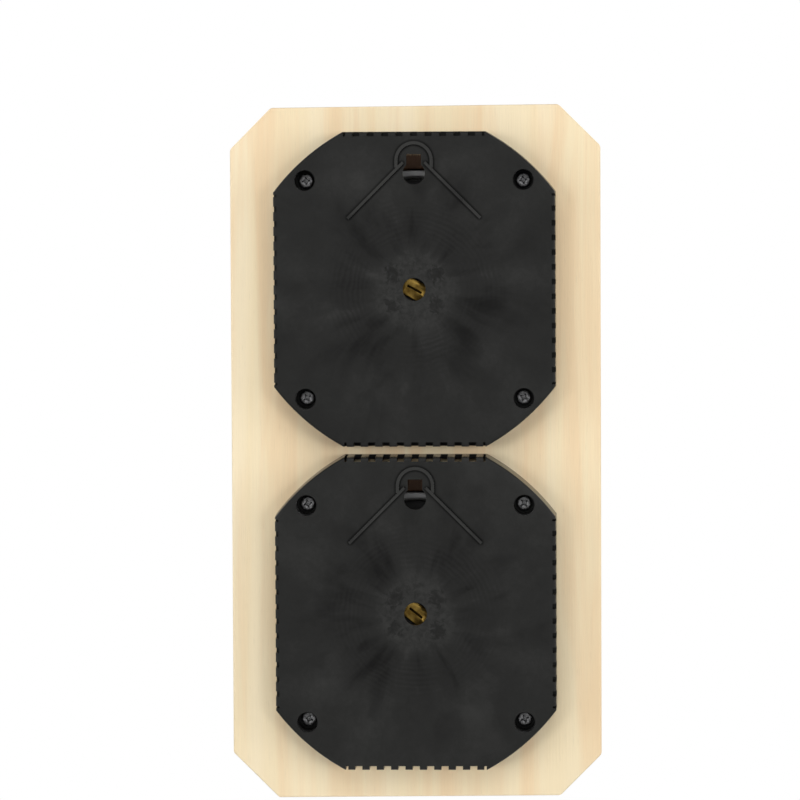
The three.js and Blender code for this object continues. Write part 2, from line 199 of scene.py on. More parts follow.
def circle(radius, segments, x=0, z=0):
    steps = [2 * math.pi * i / segments for i in range(segments)]
    return [(x + radius * math.cos(a), z + radius * math.sin(a)) for a in steps]


def rod(radius, back, front, x=0, z=0, segments=48):
    return prism(circle(radius, segments, x, z), back, front)


def turned(profile, segments=128, closed=False):
    """A profile of (radius, depth) points turned round the dial axis, and closed on itself if asked."""
    points, faces, rows = [], [], []
    for radius, depth in profile:
        ring = []
        for i in range(1 if radius < 1e-6 else segments):
            angle = 2 * math.pi * i / segments
            ring.append(len(points))
            points.append((radius * math.cos(angle), -depth, radius * math.sin(angle)))
        rows.append(ring)
    pairs = list(zip(rows, rows[1:] + rows[:1]))
    for first, second in pairs if closed else pairs[:-1]:
        for i in range(segments):
            j = (i + 1) % segments
            near = [first[i % len(first)], first[j % len(first)]]
            far = [second[j % len(second)], second[i % len(second)]]
            unique = list(dict.fromkeys(near + far))
            if len(unique) > 2:
                faces.append(tuple(unique))
    return smooth(outward(mesh_of(points, faces)))


def rounded(profile, radius, closed=False, steps=4):
    """The profile with its corners turned into small arcs."""
    made = []
    count = len(profile)
    for i, point in enumerate(profile):
        if not closed and i in (0, count - 1):
            made.append(point)
            continue
        here = Vector(point)
        before = Vector(profile[i - 1]) - here
        after = Vector(profile[(i + 1) % count]) - here
        reach = min(radius, before.length * 0.45, after.length * 0.45)
        start = here + before.normalized() * reach
        end = here + after.normalized() * reach
        for k in range(steps + 1):
            t = k / steps
            made.append(tuple(start * (1 - t) ** 2 + here * 2 * t * (1 - t) + end * t**2))
    return made


def band(inner, outer, back, front, edge=0.12, segments=128):
    """A plain ring."""
    corners = [(inner, back), (outer, back), (outer, front), (inner, front)]
    return turned(rounded(corners, edge, closed=True), segments, closed=True)


def merged(meshes):
    """Several meshes as one, without joining their surfaces."""
    work = bmesh.new()
    for mesh in meshes:
        work.from_mesh(mesh)
    made = bpy.data.meshes.new("draft")
    work.to_mesh(made)
    work.free()
    return made


def evaluated(obj):
    """The mesh of an object with its modifiers applied; the object is removed."""
    graph = bpy.context.evaluated_depsgraph_get()
    shaped = obj.evaluated_get(graph)
    made = bpy.data.meshes.new_from_object(shaped, preserve_all_data_layers=True, depsgraph=graph)
    bpy.data.objects.remove(obj)
    return made


def combined(mesh, other, operation):
    """Two solids joined by a Boolean operation."""
    body = linked("body", mesh)
    tool = linked("tool", other)
    modifier = body.modifiers.new("Boolean", "BOOLEAN")
    modifier.operation = operation
    modifier.solver = "EXACT"
    modifier.object = tool
    made = evaluated(body)
    bpy.data.objects.remove(tool)
    return made


def cut(mesh, *cutters):
    return combined(mesh, merged(cutters), "DIFFERENCE")


def bevelled(mesh, width, segments=2, above=30):
    """The solid with its edges rounded where faces meet at more than an angle in degrees."""
    work = bmesh.new()
    work.from_mesh(mesh)
    bmesh.ops.remove_doubles(work, verts=work.verts, dist=2e-6)
    bmesh.ops.dissolve_degenerate(work, dist=2e-6, edges=work.edges)
    stray = [vertex for vertex in work.verts if not vertex.link_faces]
    bmesh.ops.delete(work, geom=stray, context="VERTS")
    for face in work.faces:
        face.smooth = True
    work.to_mesh(mesh)
    work.free()
    body = linked("body", mesh)
    modifier = body.modifiers.new("Bevel", "BEVEL")
    modifier.width = width * MM
    modifier.segments = segments
    modifier.limit_method = "ANGLE"
    modifier.angle_limit = math.radians(above)
    modifier.harden_normals = True
    return evaluated(body)


# ---- Placing pieces ----
def centre_of(unit):
    low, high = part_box(unit + "_dial_plate")
    return Vector(((low.x + high.x) / 2, 0, (low.z + high.z) / 2))


def placed(name, body, mesh, material, place=Vector(), angle=0, nodes=()):
    """A piece on a body, at a place, turned clockwise round its own axis by an angle in degrees."""
    obj = linked(name, mesh)
    obj.matrix_world = Matrix.Translation(place) @ Matrix.Rotation(math.radians(angle), 4, "Y")
    mesh.materials.clear()
    mesh.materials.append(material)
    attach(obj, body)
    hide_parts(*nodes)
    return obj


def finer(node, mesh, material, place=Vector(), angle=0):
    """A finished mesh that stands for one CAD node, on that node's body and in the given material."""
    return placed(node + "_finished", BODY_OF[node], mesh, material, place, angle, [node])


# ---- Materials ----
def shader_node(tree, kind, inputs=None, **settings):
    made = tree.nodes.new(kind)
    for key, value in settings.items():
        setattr(made, key, value)
    for key, value in (inputs or {}).items():
        if isinstance(value, bpy.types.NodeSocket):
            tree.links.new(value, made.inputs[key])
        else:
            made.inputs[key].default_value = value
    return made


def new_material(name):
    made = bpy.data.materials.new(name)
    made.use_nodes = True
    tree = made.node_tree
    return made, tree, tree.nodes["Principled BSDF"]


def math_node(tree, operation, first, second=0.0):
    return shader_node(tree, "ShaderNodeMath", {0: first, 1: second}, operation=operation).outputs[0]


def vector_node(tree, operation, first, second=(0, 0, 0), output=0):
    made = shader_node(tree, "ShaderNodeVectorMath", {0: first, 1: second}, operation=operation)
    return made.outputs[output]


def position(tree, scale=(1, 1, 1), offset=(0, 0, 0)):
    """The object's own coordinates in millimetres, stretched and shifted."""
    coords = shader_node(tree, "ShaderNodeTexCoord").outputs["Object"]
    stretched = vector_node(tree, "MULTIPLY", coords, [s / MM for s in scale])
    return vector_node(tree, "ADD", stretched, offset)


def parts_of(tree, vector):
    return shader_node(tree, "ShaderNodeSeparateXYZ", {0: vector}).outputs


def flattened(tree, x, z):
    """A vector in the plane of the dial."""
    return shader_node(tree, "ShaderNodeCombineXYZ", {"X": x, "Z": z}).outputs[0]


def facing(tree, axis):
    """How squarely the surface faces along an axis of its object, either way."""
    normal = shader_node(tree, "ShaderNodeTexCoord").outputs["Normal"]
    return math_node(tree, "ABSOLUTE", parts_of(tree, normal)[axis])


def noise(tree, vector, scale=1.0, detail=3.0, roughness=0.5, distortion=0.0):
    inputs = {
        "Vector": vector, "Scale": scale, "Detail": detail,
        "Roughness": roughness, "Distortion": distortion,
    }
    return shader_node(tree, "ShaderNodeTexNoise", inputs).outputs["Fac"]


def ramp(tree, value, *stops):
    """A colour or grey ramp of (position, colour) stops."""
    made = shader_node(tree, "ShaderNodeValToRGB", {"Fac": value})
    elements = made.color_ramp.elements
    while len(elements) < len(stops):
        elements.new(0.5)
    for element, (at, color) in zip(elements, stops):
        element.position = at
        element.color = (*color, 1) if isinstance(color, tuple) else (color, color, color, 1)
    return made.outputs["Color"]


def spread(tree, value, low, high, out_low, out_high):
    inputs = {"Value": value, "From Min": low, "From Max": high, "To Min": out_low, "To Max": out_high}
    return shader_node(tree, "ShaderNodeMapRange", inputs).outputs["Result"]


def mixed(tree, factor, first, second, blend="MIX"):
    made = shader_node(tree, "ShaderNodeMix", {"Factor": factor}, data_type="RGBA", blend_type=blend)
    for socket, value in ((made.inputs[6], first), (made.inputs[7], second)):
        if isinstance(value, bpy.types.NodeSocket):
            tree.links.new(value, socket)
        else:
            socket.default_value = (*value, 1)
    return made.outputs[2]


def bump(tree, bsdf, *layers):
    """Stacked bumps of (height, depth in millimetres)."""
    normal = None
    for height, depth in layers:
        inputs = {"Height": height, "Distance": depth * MM, "Strength": 1.0}
        if normal:
            inputs["Normal"] = normal
        normal = shader_node(tree, "ShaderNodeBump", inputs).outputs["Normal"]
    tree.links.new(normal, bsdf.inputs["Normal"])


WOOD_STREAK = (0.86, 0.65, 0.4)
# The dark brown of the painted shade on the wood under the housings.
WOOD_PAINTED_SHADE = (0.15, 0.075, 0.037)
# How far each kind of mark lightens or darkens the plastic, and its colours from dark to light. The lighter
# rib tops are partly a painted highlight, the darkened creases are painted shade, and the lighter
# sideways-facing walls are a painted sheen.
PLASTIC_MARKS = {
    "mottle": 0.24, "wedges": 0.5, "dark smears": -0.24, "pale smears": 0.12, "specks": 0.7,
    "disc": 0.12, "trough": -0.12, "ripples": 0.06, "sinks": -0.22,
    "rib top highlight and wear": 0.3, "painted_crease_shade": -1.4, "painted side wall sheen": 0.4,
}
PLASTIC_TONES = (
    (0.0, (0.0012, 0.0012, 0.001)),
    (0.5, (0.0064, 0.0065, 0.0057)),
    (1.0, (0.028, 0.028, 0.026)),
)


def wood():
    """Pale close-grained wood with painted light and shade: darker towards the bottom as a painted light
    falloff, end grain darker and also standing as painted shade along the edges, and painted shade on the
    wood under the housings round the holes.
    """
    made, tree, bsdf = new_material("pale wood")
    bands = noise(tree, position(tree, (0.045, 0.045, 0.0022)), 1.0, 2, 0.5, 0.6)
    tint = noise(tree, position(tree, (0.085, 0.085, 0.0052), (31, 4, 9)), 1.0, 3, 0.55, 0.7)
    fibres = noise(tree, position(tree, (1.6, 1.6, 0.03)), 1.0, 4, 0.65)
    flecks = noise(tree, position(tree, (2.6, 2.6, 0.16), (5, 5, 5)), 1.0, 2, 0.5)
    pale, deep, creamy = (0.905, 0.77, 0.53), (0.885, 0.735, 0.48), (0.91, 0.78, 0.55)
    color = ramp(tree, bands, (0.3, pale), (0.52, deep), (0.7, creamy))
    color = mixed(tree, ramp(tree, tint, (0.44, 0.0), (0.62, 0.9)), color, WOOD_STREAK)

    upper, lower = (centre_of(unit).z / MM for unit in UNITS)
    place = parts_of(tree, position(tree, offset=(0, 0, -(upper + lower) / 2)))
    shades = (
        ramp(tree, fibres, (0.3, 0.95), (0.7, 1.0)),
        ramp(tree, flecks, (0.62, 1.0), (0.78, 0.9)),
    )
    for shade in shades:
        color = mixed(tree, 1.0, color, shade, "MULTIPLY")
    # Painted shade: the wood under each housing, seen through its vents and keyhole, is coloured dark brown
    # where the housing would shade it.
    height = math_node(tree, "SUBTRACT", math_node(tree, "ABSOLUTE", place["Z"]), (upper - lower) / 2)
    radius = vector_node(tree, "LENGTH", flattened(tree, place["X"], height), output="Value")
    ragged = math_node(tree, "ADD", radius, math_node(tree, "MULTIPLY", fibres, 3))
    shade_under_housings = spread(tree, ragged, 51.8, 54, 1, 0)
    behind = spread(tree, place["Y"], -22, -18, 0, 1)
    color = mixed(tree, math_node(tree, "MULTIPLY", shade_under_housings, behind), color, WOOD_PAINTED_SHADE)
    # End grain at the top and bottom is darker; this darkening also serves as painted shade along the
    # board's lower edge.
    end_grain_and_edge_shade = spread(tree, facing(tree, "Z"), 0.8, 0.95, 1.0, 0.72)
    # Painted light falloff: the wood's colour darkens towards the bottom, as if less lit there.
    fade = spread(tree, place["Z"], -125, 70, 0.9, 1.0)
    for shade in (end_grain_and_edge_shade, fade):
        color = mixed(tree, 1.0, color, shade, "MULTIPLY")
    tree.links.new(color, bsdf.inputs["Base Color"])
    tree.links.new(spread(tree, fibres, 0.2, 0.8, 0.5, 0.68), bsdf.inputs["Roughness"])
    bump(tree, bsdf, (fibres, 0.06), (flecks, 0.04))
    return made


def moulded_plastic(name, seed):
    """Black moulded plastic: fine grain, flow marks round the gate in its middle, rib tops worn and lighter
    with a painted highlight, painted shade in creases and a painted sheen on the walls that face sideways.
    """
    made, tree, bsdf = new_material(name)
    place = position(tree)
    parts = parts_of(tree, place)
    flat = flattened(tree, parts["X"], parts["Z"])
    radius = vector_node(tree, "LENGTH", flat, output="Value")
    drift = math_node(tree, "MULTIPLY", radius, 0.014)
    shift = shader_node(tree, "ShaderNodeCombineXYZ", {"X": seed, "Y": drift, "Z": seed}).outputs[0]
    ray = vector_node(tree, "ADD", vector_node(tree, "NORMALIZE", flat), shift)

    def times(first, second):
        return math_node(tree, "MULTIPLY", first, second)

    def centred(value):
        """A noise as an offset round nought."""
        return math_node(tree, "SUBTRACT", value, 0.5)

    mottle = noise(tree, position(tree, (0.07, 0.07, 0.07), (seed, 0, seed)), 1.0, 6, 0.62, 0.3)
    specks = noise(tree, position(tree, (0.5, 0.5, 0.5), (0, seed, 3)), 1.0, 3, 0.6, 0.6)
    grain = noise(tree, place, 3.5, 2, 0.6)
    wedges = noise(tree, ray, 1.9, 2, 0.5, 0.2)
    smears = noise(tree, ray, 3.8, 3, 0.55, 0.3)

    # Round the gate lie a pale disc, a darker trough with ripples, and streaks that fade outwards.
    beyond_disc = spread(tree, radius, 12, 17, 0, 1)
    streaked = times(beyond_disc, spread(tree, radius, 34, 52, 1, 0.15))
    trough = times(spread(tree, radius, 15, 21, 0, 1), spread(tree, radius, 27, 36, 1, 0))
    wavy = math_node(tree, "ADD", radius, times(centred(mottle), 5))
    ripples = times(math_node(tree, "SINE", times(wavy, 3.4)), spread(tree, mottle, 0.4, 0.6, 0, 1))
    corner = vector_node(tree, "ABSOLUTE", flat)
    from_pin = vector_node(tree, "DISTANCE", corner, (8.2, 0, 6), output="Value")
    sinks = spread(tree, math_node(tree, "ADD", from_pin, times(centred(specks), 7)), 1.6, 3.4, 1, 0)
    # Painted shade: creases near the back, such as the feet of the ribs, are darkened by ambient occlusion.
    occlusion = shader_node(tree, "ShaderNodeAmbientOcclusion", {"Distance": 1.1 * MM}, samples=6)
    painted_crease_shade = math_node(tree, "SUBTRACT", 1, occlusion.outputs["AO"])
    square = facing(tree, "Y")
    layers = {
        "mottle": centred(mottle),
        "wedges": times(centred(wedges), beyond_disc),
        "dark smears": times(spread(tree, smears, 0.3, 0.5, 1, 0), streaked),
        "pale smears": times(spread(tree, smears, 0.6, 0.72, 0, 1), streaked),
        "specks": times(centred(specks), spread(tree, radius, 10, 17, 1, 0.25)),
        "disc": spread(tree, radius, 13, 17, 1, 0),
        "trough": trough,
        "ripples": times(ripples, trough),
        "sinks": sinks,
        # The rib tops are lighter: partly wear where they touch the wall, partly a painted highlight.
        "rib top highlight and wear": spread(tree, parts["Y"], 0.35, 0.8, 0, 1),
        "painted_crease_shade": times(painted_crease_shade, spread(tree, parts["Y"], -0.4, -0.1, 0, 1)),
        # Painted sheen: walls and edges that face sideways are made lighter in colour.
        "painted side wall sheen": math_node(tree, "SUBTRACT", 1, square),
    }
    tone = 1.0
    for layer, marks in layers.items():
        tone = math_node(tree, "ADD", times(marks, PLASTIC_MARKS[layer]), tone)
    color = ramp(tree, spread(tree, tone, 0.4, 1.6, 0, 1), *PLASTIC_TONES)
    tree.links.new(color, bsdf.inputs["Base Color"])
    rough = times(spread(tree, tone, 0.6, 1.4, 0.56, 0.45), spread(tree, square, 0.2, 0.9, 0.55, 1.0))
    tree.links.new(rough, bsdf.inputs["Roughness"])
    tree.links.new(spread(tree, tone, 0.5, 1.2, 0.12, 0.27), bsdf.inputs["Specular IOR Level"])
    bump(tree, bsdf, (grain, 0.012), (mottle, 0.06))
    return made


def gloss_plastic():
    """Black plastic, polished at the dial side, satin towards the wall, and lighter and part metallic on
    its rear rim: worn bare there and with a painted highlight.
    """
    made, tree, bsdf = new_material("gloss black plastic")
    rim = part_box("thermo_dial_casing")[1].y / MM
    haze = noise(tree, position(tree), 0.35, 3)
    depth = parts_of(tree, position(tree))["Y"]
    # Painted highlight: the rear rim is made lighter and part metallic, as worn bare, to stand for the
    # bright reflections on it.
    rim_highlight_and_wear = spread(tree, depth, rim - 1.2, rim - 0.3, 0, 1)
    tree.links.new(mixed(tree, rim_highlight_and_wear, (0.012, 0.012, 0.0125), (0.3, 0.3, 0.3)), bsdf.inputs["Base Color"])
    tree.links.new(math_node(tree, "MULTIPLY", rim_highlight_and_wear, 0.4), bsdf.inputs["Metallic"])
    satin = spread(tree, depth, rim - 13, rim - 7, 0, 0.14)
    rough = math_node(tree, "ADD", spread(tree, haze, 0.3, 0.7, 0.12, 0.22), satin)
    tree.links.new(rough, bsdf.inputs["Roughness"])
    bump(tree, bsdf, (haze, 0.02))
    return made


def metal(name, dark, light, rough_low, rough_high, scale=(0.4, 0.4, 0.4), relief=0.01, shade_from_depth=None):
    """A metal with patches of two colours and uneven polish, and painted shade, nearly black, from a given
    depth on.
    """
    made, tree, bsdf = new_material(name)
    patches = noise(tree, position(tree, scale), 1.0, 4, 0.6)
    color = ramp(tree, patches, (0.35, dark), (0.65, light))
    # Painted shade: deeper than the given depth, the colour is made nearly black.
    if shade_from_depth:
        painted_shade_factor = spread(tree, parts_of(tree, position(tree))["Y"], -shade_from_depth - 0.3, -shade_from_depth, 0.06, 1)
        color = mixed(tree, 1.0, color, painted_shade_factor, "MULTIPLY")
    tree.links.new(color, bsdf.inputs["Base Color"])
    bsdf.inputs["Metallic"].default_value = 1.0
    tree.links.new(spread(tree, patches, 0.3, 0.7, rough_low, rough_high), bsdf.inputs["Roughness"])
    scratches = noise(tree, position(tree, (6, 6, 0.6)), 1.0, 3, 0.6)
    bump(tree, bsdf, (patches, relief), (scratches, relief * 0.4))
    return made


def paint(name, color, rough_low, rough_high, variation=0.03):
    """Paint or ink with a faint orange-peel surface."""
    made, tree, bsdf = new_material(name)
    cloud = noise(tree, position(tree, (0.08, 0.08, 0.08)), 1.0, 3)
    darker = tuple(c * (1 - variation) for c in color)
    tree.links.new(ramp(tree, cloud, (0.35, darker), (0.65, color)), bsdf.inputs["Base Color"])
    tree.links.new(spread(tree, cloud, 0.3, 0.7, rough_low, rough_high), bsdf.inputs["Roughness"])
    peel = noise(tree, position(tree), 2.5, 2)
    bump(tree, bsdf, (peel, 0.004))
    return made


def clear_lens():
    """A window that shines on its outer faces only, so that the dial behind it stays bright."""
    made, tree, bsdf = new_material("clear lens")
    tree.nodes.remove(bsdf)
    haze = noise(tree, position(tree), 0.05, 2)
    roughness = spread(tree, haze, 0.3, 0.7, 0.02, 0.05)
    through = shader_node(tree, "ShaderNodeBsdfTransparent", {"Color": (0.985, 0.99, 0.985, 1)})
    shine = shader_node(tree, "ShaderNodeBsdfGlossy", {"Color": (1, 1, 1, 1), "Roughness": roughness})
    fresnel = shader_node(tree, "ShaderNodeFresnel", {"IOR": 1.49}).outputs[0]
    inside = shader_node(tree, "ShaderNodeNewGeometry").outputs["Backfacing"]
    outer = math_node(tree, "MULTIPLY", fresnel, math_node(tree, "SUBTRACT", 1, inside))
    both = shader_node(tree, "ShaderNodeMixShader", {0: outer, 1: through.outputs[0], 2: shine.outputs[0]})
    tree.links.new(both.outputs[0], tree.nodes["Material Output"].inputs["Surface"])
    return made


WOOD = wood()
GLOSS_BLACK = gloss_plastic()
INNER_BLACK = paint("satin black plastic", (0.018, 0.018, 0.018), 0.35, 0.5, 0.2)
ZINC = metal("zinc plated steel", (0.42, 0.42, 0.43), (0.62, 0.63, 0.64), 0.28, 0.42)
SCREW_METAL = metal(
    "bright zinc", (0.2, 0.2, 0.2), (0.78, 0.78, 0.79), 0.35, 0.55, scale=(1.3, 1.3, 1.3), relief=0.08)
BLACKENED = metal("blackened steel", (0.02, 0.02, 0.02), (0.045, 0.045, 0.045), 0.4, 0.55)
BRASS = metal("brass", (0.5, 0.36, 0.12), (0.68, 0.5, 0.2), 0.25, 0.4)
ADJUSTER_TOP = -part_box("thermo_adjuster")[1].y / MM
# The adjuster's brass is painted nearly black from just below its head's top: painted shade in its slot and
# round its sides.
AGED_BRASS = metal(
    "aged brass", (0.12, 0.072, 0.016), (0.28, 0.185, 0.046), 0.3, 0.5,
    scale=(0.35, 0.35, 0.35), relief=0.03, shade_from_depth=ADJUSTER_TOP + 0.2)
COIL_METAL = metal("coil strip", (0.45, 0.38, 0.24), (0.62, 0.55, 0.4), 0.25, 0.4)
DIAL_WHITE = paint("dial white", (0.86, 0.845, 0.79), 0.45, 0.55)
INK = paint("black ink", (0.012, 0.012, 0.014), 0.4, 0.55, 0.15)
RED_INK = paint("red ink", (0.55, 0.03, 0.02), 0.4, 0.55, 0.1)
GREEN_INK = paint("green ink", (0.03, 0.26, 0.07), 0.4, 0.55, 0.1)
POINTER_PAINT = paint("pointer paint", (0.016, 0.016, 0.017), 0.25, 0.35, 0.15)
CLEAR = clear_lens()


# ---- Rear housing ----
def housing_outline(inset):
    """Four straight sides joined by four shallow arcs, a distance inside the outer outline."""
    radius = CORNER_ARC["radius"] - inset
    width = HOUSING["half_width"] - inset
    height = HOUSING["half_height"] - inset
    offset = CORNER_ARC["reach"] - CORNER_ARC["radius"]
    centre_x = offset * math.cos(CORNER_ARC["tilt"])
    centre_z = offset * math.sin(CORNER_ARC["tilt"])
    start = math.acos((width - centre_x) / radius)
    end = math.asin((height - centre_z) / radius)
    steps = CORNER_ARC["steps"]
    angles = [start + (end - start) * i / steps for i in range(steps + 1)]
    arc = [(centre_x + radius * math.cos(a), centre_z + radius * math.sin(a)) for a in angles]
    back = arc[::-1]
    return arc + [(-x, z) for x, z in back] + [(-x, -z) for x, z in arc] + [(x, -z) for x, z in back]


def vent_cutters():
    """Notches in the edge of the back, and slots through the four straight walls below them."""
    wall = HOUSING["wall"]
    notches, slots = [], []
    for vents, half in ((END_VENTS, HOUSING["half_height"]), (SIDE_VENTS, HOUSING["half_width"])):
        places = [(step * vents["pitch"], vents["gap"]) for step in vents["steps"]]
        places += [(side * vents["slit_at"], SLIT) for side in (-1, 1)]
        for at, gap in places:
            along = (at - gap / 2, at + gap / 2)
            for side in (-1, 1):
                notch = sorted((side * (half - vents["notch"]), side * (half + 2)))
                slot = sorted((side * (half - wall - OVERCUT), side * (half + 2)))
                if vents is END_VENTS:
                    notches.append(block(*along, -OVERCUT, wall, *notch))
                    slots.append(block(*along, wall, vents["front"], *slot))
                else:
                    notches.append(block(*notch, -OVERCUT, wall, *along))
                    slots.append(block(*slot, wall, vents["front"], *along))
    return notches, slots


def arch_outline():
    outer = ARCH["outer"]
    inner = outer - ARCH["width"]
    steps = 32
    half_turn = [math.pi * i / steps for i in range(steps + 1)]
    outside = [(outer * math.cos(a), ARCH["height"] + outer * math.sin(a)) for a in half_turn]
    inside = [(inner * math.cos(a), ARCH["height"] + inner * math.sin(a)) for a in half_turn]
    foot = ARCH["foot"]
    return [(outer, foot)] + outside + [(-outer, foot), (-inner, foot)] + inside[::-1] + [(inner, foot)]


def guide_rib_outline(side):
    across = GUIDE_RIB["width"] / 2 * math.sqrt(0.5)
    x0, z0 = GUIDE_RIB["inner"], GUIDE_RIB["top"]
    x1, z1 = x0 + GUIDE_RIB["run"], z0 - GUIDE_RIB["run"]
    corners = [
        (x0 - across, z0 - across), (x1 - across, z1 - across),
        (x1 + across, z1 + across), (x0 + across, z0 + across),
    ]
    return [(side * x, z) for x, z in corners]


def drafted(mesh):
    """The walls lean out towards the board."""
    for vertex in mesh.vertices:
        grow = 1 + HOUSING["draft"] / HOUSING["half_width"] * -vertex.co.y / MM / HOUSING["depth"]
        vertex.co.x *= grow
        vertex.co.z *= grow
    return mesh


def housing_mesh():
    """An open box with screw tubes, a raised arch and ribs, a keyhole, an access hole and vents."""
    depth, wall = HOUSING["depth"], HOUSING["wall"]
    corners = [(x * SCREW_AT, z * SCREW_AT) for x in (-1, 1) for z in (-1, 1)]
    curve, steps = HOUSING["round"], HOUSING["round_steps"]
    turns = [math.pi / 2 * i / steps for i in range(steps + 1)]
    layers = [(housing_outline(curve * (1 - math.sin(a))), curve * (1 - math.cos(a))) for a in turns]
    outside = stacked(layers + [(housing_outline(0), depth)])
    shell = cut(drafted(outside), drafted(prism(housing_outline(wall), wall, depth + OVERCUT)))
    tubes = [rod(RECESS["tube"], wall / 2, depth, x, z) for x, z in corners]
    shell = combined(shell, merged(tubes), "UNION")
    for outline in (arch_outline(), guide_rib_outline(-1), guide_rib_outline(1)):
        shell = combined(shell, prism(outline, -BACK_RIB, wall / 2), "UNION")
    through = wall + OVERCUT
    half, top = KEYHOLE["half_slot"], KEYHOLE["top"]
    shell = cut(shell, rod(KEYHOLE["entry"], -OVERCUT - 1, through, 0, KEYHOLE["entry_height"], 64))
    shell = cut(shell, block(-half, half, -OVERCUT - 1, through, KEYHOLE["entry_height"], top))
    shell = cut(shell, rod(ACCESS_HOLE, -OVERCUT, through, segments=64))
    recess_end = depth - RECESS["flange"]
    shell = cut(shell, *[rod(RECESS["radius"], -OVERCUT, recess_end, x, z) for x, z in corners])
    shell = cut(shell, *[rod(RECESS["hole"], 1, depth + OVERCUT, x, z, 24) for x, z in corners])
    notches, slots = vent_cutters()
    shell = cut(cut(shell, *notches), *slots)
    return bevelled(shell, HOUSING["edge"])


# ---- Board ----
def board_mesh():
    """The CAD board's own outline, with a finely segmented hole for each casing and rounded edges."""
    node = frame["nodes"]["wood_board"]
    flat = [Vector((v.co.x, v.co.z)) / MM for v in node.data.vertices]
    corners = [tuple(flat[i]) for i in convex_hull_2d(flat)]
    low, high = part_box("wood_board")
    back, front = -high.y / MM, -low.y / MM
    slab = prism(corners, back, front)
    casing_low, casing_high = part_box("thermo_dial_casing")
    opening = (casing_high.x - casing_low.x) / 2 / MM - CASING["flange"] + CASING["opening"]
    holes = [rod(opening, back - 1, front + 1, 0, centre_of(unit).z / MM, 128) for unit in UNITS]
    return bevelled(cut(slab, *holes), BOARD_EDGE, 3)


# ---- Screws and adjusters ----
def screw_mesh():
    """A low domed pan head with a tapered cross recess, and a pointed shank."""
    low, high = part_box("thermo_housing_screw_1")
    top, tip = -high.y / MM, -low.y / MM
    head = (high.x - low.x) / 2 / MM
    seat, shank = top + SCREW["head"], SCREW["shank"]
    dome = [(0, 0), (head * 0.6, 0.03), (head * 0.86, 0.16), (head * 0.97, 0.45), (head, 0.9)]
    profile = [(radius, top + below) for radius, below in dome]
    profile += [(head, seat), (shank, seat), (shank, tip - SCREW["point"]), (0, tip)]
    body = turned(rounded(profile, 0.2), 64)
    above, deep = top - OVERCUT, top + CROSS["depth"]
    mouth, foot, half = CROSS["mouth"], CROSS["foot"], CROSS["half_width"]
    section = [(-mouth, above), (mouth, above), (mouth, top), (foot, deep), (-foot, deep), (-mouth, top)]
    upright = Matrix.Rotation(math.radians(90), 4, "X")
    for angle in (0, 90):
        arm = prism(section, -half, half)
        arm.transform(Matrix.Rotation(math.radians(angle), 4, "Y") @ upright)
        body = cut(body, outward(arm))
    bowl = turned([(0, above), (CROSS["bowl"], above), (CROSS["bowl"], top), (0, deep + 0.4)], 24)
    return bevelled(cut(body, bowl), 0.06, 2, 40)


def adjuster_mesh():
    """A head with two flats and a closed slot along X, on a stepped stem."""
    low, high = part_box("thermo_adjuster")
    back, end = -high.y / MM, -low.y / MM
    under = back + ADJUSTER["head"]
    flats, reach, half_slot = ADJUSTER["half_flats"], ADJUSTER["radius"] + 1, ADJUSTER["half_slot"]
    disc = rod(ADJUSTER["radius"], back, under, segments=96)
    head = combined(disc, block(-reach, reach, back - 1, under + 1, -flats, flats), "INTERSECT")
    half_gap = ADJUSTER["slot_width"] / 2
    slot = block(-half_slot, half_slot, back - 1, back + ADJUSTER["slot_depth"], -half_gap, half_gap)
    head = bevelled(cut(head, slot), 0.15, 3)
    neck, stem, peen, bore, shoulder, peen_from, bore_from = ADJUSTER_STEM.values()
    shaft = turned(rounded([
        (0, under - 0.4), (neck, under - 0.4), (neck, shoulder), (stem, shoulder), (stem, peen_from),
        (peen, peen_from + 0.2), (peen, end), (bore, end), (bore, bore_from), (0, bore_from),
    ], 0.1), 64)
    return smooth(merged([head, shaft]), 35)


# ---- Front ----
def casing_mesh():
    """A barrel with a belled rim at the back, and a bezel with a window at the front."""
    low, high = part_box("thermo_dial_casing")
    rim, front = -high.y / MM, -low.y / MM
    bore, window, flange, barrel = (CASING[key] for key in ("bore", "window", "flange", "barrel"))
    mouth, curve = CASING["mouth"], CASING["curve"]
    corners = [
        (barrel, front - 2.2), (flange, front - 2.2), (flange, front - 1.3), (flange - 1.9, front),
        (window + 2.6, front), (window, front - 0.9), (window, front - 1.4), (bore, front - 1.4),
        (bore, rim + 2.1), (mouth, rim + curve), (mouth + curve, rim),
        (barrel - curve, rim), (barrel, rim + curve),
    ]
    return turned(rounded(corners, 0.6, closed=True, steps=5), 192, closed=True)


INK_THICKNESS = 0.04
SCALE = {"outer": 36.8, "fine": 34.6, "middle": 33.6, "long": 32.4, "numbers": 27.2}
TICK_WIDTH = {"fine": 0.22, "middle": 0.4, "long": 0.62}
NUMBER_SIZE = 6.2
SIGN_SIZE = 7.5
SIGN_HEIGHT = -19
SCALES = {
    "thermo": {"fine": 2, "middle": 10, "long": 20, "sign": "°C", "zone": (80, 110), "zone_ink": RED_INK},
    "hygro": {"fine": 2, "middle": 5, "long": 10, "sign": "%", "zone": (40, 60), "zone_ink": GREEN_INK},
}


def on_circle(radius, angle):
    """A point at an angle in degrees, clockwise from straight up."""
    turn = math.radians(angle)
    return (radius * math.sin(turn), radius * math.cos(turn))


def dial_angle(unit, value):
    return SCALE_SWEEP * (value / UNITS[unit]["top"] - 0.5)


def tick(angle, inner, outer, width, depth):
    """A flat radial mark, a hair thick."""
    made = block(-width / 2, width / 2, depth, depth + INK_THICKNESS, inner, outer)
    made.transform(Matrix.Rotation(math.radians(angle), 4, "Y"))
    return made


